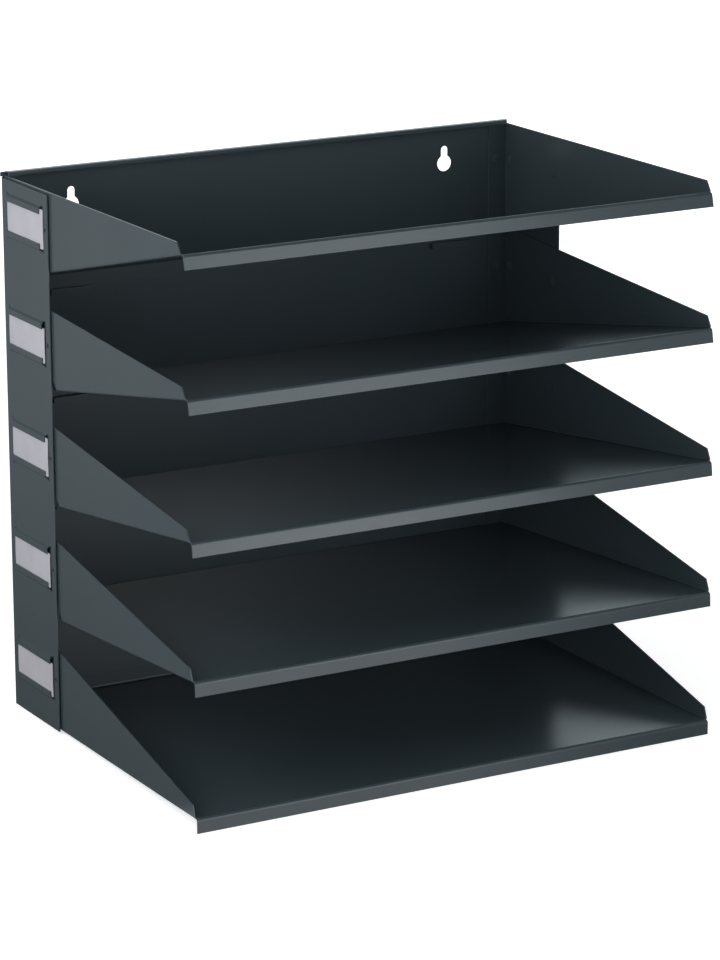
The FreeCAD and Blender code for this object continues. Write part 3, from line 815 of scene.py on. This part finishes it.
@dataclass(frozen=True)
class Floor:
    """Pale matt floor on which the sorter stands.

    Attributes:
        contact: place along Y and Z of the lowest lip's bottom edge, which the floor touches.
        gap: how far it lies below that edge.
        reach: half its side.
        colour: its colour.
        patch_shade: factor of the colour in its darker patches.
        patches: where they lie.
        bounce: share of its colour that it gives back to the sorter.
        top_up: light added to it for the camera, over the distance from the sorter.
        rear_glow: brightness behind the sorter along Y, as the coat mirrors it.
        front_glow: brightness before the sorter along Y, as the coat mirrors it.
        front_start: where the front glow sets in along Y.
        front_side: where the front glow ends to the right.
        front_slant: how much that end moves to the right for each metre along Y.
    """

    contact: tuple[float, float] = (-248.8 * MM, -8.3 * MM)
    gap: float = 0.05 * MM
    reach: float = 6.0
    colour: Colour = (0.8, 0.8, 0.8)
    patch_shade: float = 0.985
    patches: Speckle = Speckle(3.0)
    bounce: float = 0.2
    top_up: Fade = Fade(0.3, 1.5, 0.62, 1.0)
    rear_glow: Fade = Fade(0.1, 0.7, 0.05, 0.26)
    front_glow: Fade = Fade(-0.25, -0.75, 1.1, 1.5)
    front_start: Fade = Fade(-0.2, -0.25)
    front_side: Fade = Fade(0.02, -0.16)
    front_slant: float = 0.56

    def lay(self) -> None:
        """Lay the floor through the lowest lip's bottom edge and that of the back panel."""
        mesh = bmesh.new()
        bmesh.ops.create_grid(mesh, x_segments=1, y_segments=1, size=self.reach)
        slope = math.atan2(self.contact[1], self.contact[0])
        bmesh.ops.rotate(mesh, verts=mesh.verts, cent=(0, 0, 0), matrix=Matrix.Rotation(slope, 3, "X"))
        bmesh.ops.translate(mesh, verts=mesh.verts, vec=(0, 0, -self.gap))
        data = bpy.data.meshes.new("studio_floor")
        mesh.to_mesh(data)
        mesh.free()
        data.materials.append(self._finish())
        floor = bpy.data.objects.new("studio_floor", data)
        bpy.context.scene.collection.objects.link(floor)

    def _finish(self) -> bpy.types.Material:
        """Matt paint that keeps the shadow.

        Returns:
            The material.
        """
        material = bpy.data.materials.new("studio_floor_paint")
        material.use_nodes = True
        web = NodeWeb(material.node_tree)
        where = web.add("TexCoord").outputs["Object"]
        paint = web.tint(self.patches.over(web, where), scaled(self.colour, self.patch_shade), self.colour)
        path = web.add("LightPath").outputs
        away = web.feed(web.add("VectorMath", operation="LENGTH"), in0=where).outputs["Value"]
        seen = web.math("MULTIPLY", path["Is Camera Ray"], self.top_up.along(web, away))
        mirrored = web.math("MULTIPLY", path["Is Glossy Ray"], self._glow(web, where))
        returned = web.tint(path["Is Camera Ray"], scaled(self.colour, self.bounce), paint)
        matt = web.feed(web.add("BsdfDiffuse"), Color=returned)
        added = web.feed(web.add("Emission"), Color=WHITE, Strength=web.math("ADD", seen, mirrored))
        both = web.feed(web.add("AddShader"), in0=matt.outputs[0], in1=added.outputs[0])
        web.feed(web.add("OutputMaterial"), Surface=both.outputs[0])
        return material

    def _glow(self, web: NodeWeb, where: Socket) -> Socket:
        """Brightness of the floor in reflections: high before the sorter and far behind it, low beside it.

        Args:
            web: the floor's nodes.
            where: place on the floor.

        Returns:
            The brightness.
        """
        place = web.feed(web.add("SeparateXYZ"), Vector=where).outputs
        slanted = web.math("MULTIPLY_ADD", place["Y"], self.front_slant, place["X"])
        before = web.math("MULTIPLY", self.front_glow.along(web, place["Y"]),
                          self.front_side.along(web, slanted))
        before = web.math("MULTIPLY", before, self.front_start.along(web, place["Y"]))
        return web.math("MAXIMUM", self.rear_glow.along(web, place["Y"]), before)


@dataclass(frozen=True)
class Surroundings:
    """White all round for the camera, and softer light for the sorter.

    Attributes:
        fill: strength on matt surfaces, over the direction's rise.
        depth: strength as the coat mirrors it, from before the sorter to behind it.
        height: share of that strength that is left, over the direction's rise.
        side: share of that strength that is left, from the sorter's left to its right.
        mirrored_tint: colour as the coat mirrors it.
    """

    fill: Fade = Fade(0.05, 0.5, 1.42, 0.5)
    depth: Fade = Fade(-0.3, 0.3, 0.4, 1.15)
    height: Fade = Fade(0.35, 0.45, 1.0, 0.1)
    side: Fade = Fade(-0.1, 0.15, 0.2, 1.0)
    mirrored_tint: Colour = (0.85, 1.0, 1.05)

    def light(self) -> None:
        """Make the world."""
        world = bpy.data.worlds.new("studio")
        bpy.context.scene.world = world
        world.use_nodes = True
        web = NodeWeb(world.node_tree)
        path = web.add("LightPath").outputs
        mirrored = web.math("MAXIMUM", path["Is Glossy Ray"], path["Is Transmission Ray"])
        towards = web.feed(web.add("SeparateXYZ"), Vector=web.add("TexCoord").outputs["Generated"]).outputs
        gleam = web.math("MULTIPLY", self.depth.along(web, towards["Y"]),
                         self.height.along(web, towards["Z"]))
        gleam = web.math("MULTIPLY", gleam, self.side.along(web, towards["X"]))
        lit = web.feed(web.add("Mix", data_type="FLOAT"), in0=mirrored,
                       in2=self.fill.along(web, towards["Z"]), in3=gleam)
        strength = web.math("MAXIMUM", path["Is Camera Ray"], lit.outputs[0])
        colour = web.tint(mirrored, WHITE[:3], self.mirrored_tint)
        sky = web.feed(web.add("Background"), Color=colour, Strength=strength)
        web.feed(web.add("OutputWorld"), Surface=sky.outputs[0])


@dataclass(frozen=True)
class Viewpoint:
    """Camera a little above the sorter, on its left.

    Attributes:
        place: where it stands, in metres.
        yaw: degrees that it is turned about Z.
        tilt: degrees that it is raised from looking straight down.
        roll: degrees that it is turned about its own line of sight.
        lens: focal length in millimetres.
        far_end: metres up to which it sees.
    """

    place: tuple[float, float, float] = (-1.14709, -2.17315, 0.79712)
    yaw: float = -29.2547
    tilt: float = 74.5957
    roll: float = -0.1901
    lens: float = 148.39
    far_end: float = 20.0

    def take(self) -> None:
        """Set up the camera."""
        data = bpy.data.cameras.new("camera")
        data.lens = self.lens
        data.clip_end = self.far_end
        camera = bpy.data.objects.new("camera", data)
        bpy.context.scene.collection.objects.link(camera)
        turns = ((self.yaw, "Z"), (self.tilt, "X"), (self.roll, "Z"))
        yaw, tilt, roll = (Matrix.Rotation(math.radians(angle), 4, axis) for angle, axis in turns)
        camera.matrix_world = Matrix.Translation(self.place) @ yaw @ tilt @ roll
        bpy.context.scene.camera = camera


@dataclass(frozen=True)
class Studio:
    """Floor, lamps, surroundings and camera.

    Attributes:
        middle: the point that the lamps look at.
        lamps: the lamps.
    """

    middle: tuple[float, float, float] = (0.0, -0.12, 0.17)
    lamps: tuple[Lamp, ...] = (
        Lamp("side_left", -80.0, 19.0, 0.64, (0.4, 0.4), 1.72, mirrored=False),
        Lamp("front_card", 20.4, 6.6, 1.13, (0.36, 0.8), 2.3),
        Lamp("front_left", -42.0, 7.0, 2.6, (1.2, 1.0), 6.0),
        Lamp("overhead", -30.0, 60.0, 2.6, (2.0, 1.4), 1.5),
    )

    def build(self) -> None:
        """Set the stage."""
        bpy.context.scene.view_settings.view_transform = "Standard"
        Floor().lay()
        Surroundings().light()
        for lamp in self.lamps:
            lamp.place(Vector(self.middle))
        Viewpoint().take()


def main() -> None:
    """Build and dress the sorter, piece by piece, and set the stage."""
    logging.basicConfig(level=logging.INFO, format="%(name)s: %(message)s")
    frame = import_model()
    shop = Workshop(frame)
    upwards = range(TRAY_COUNT, 0, -1)
    SheetWork(("back_panel", "left_cheek", "right_cheek")).build(shop)
    SheetWork(tuple(f"tray_{number}" for number in upwards)).build(shop)
    RivetWork().build(shop)
    for number in upwards:
        LabelCard(f"label_card_{number}").build(shop)
    Studio().build()


if __name__ == "__main__":
    main()
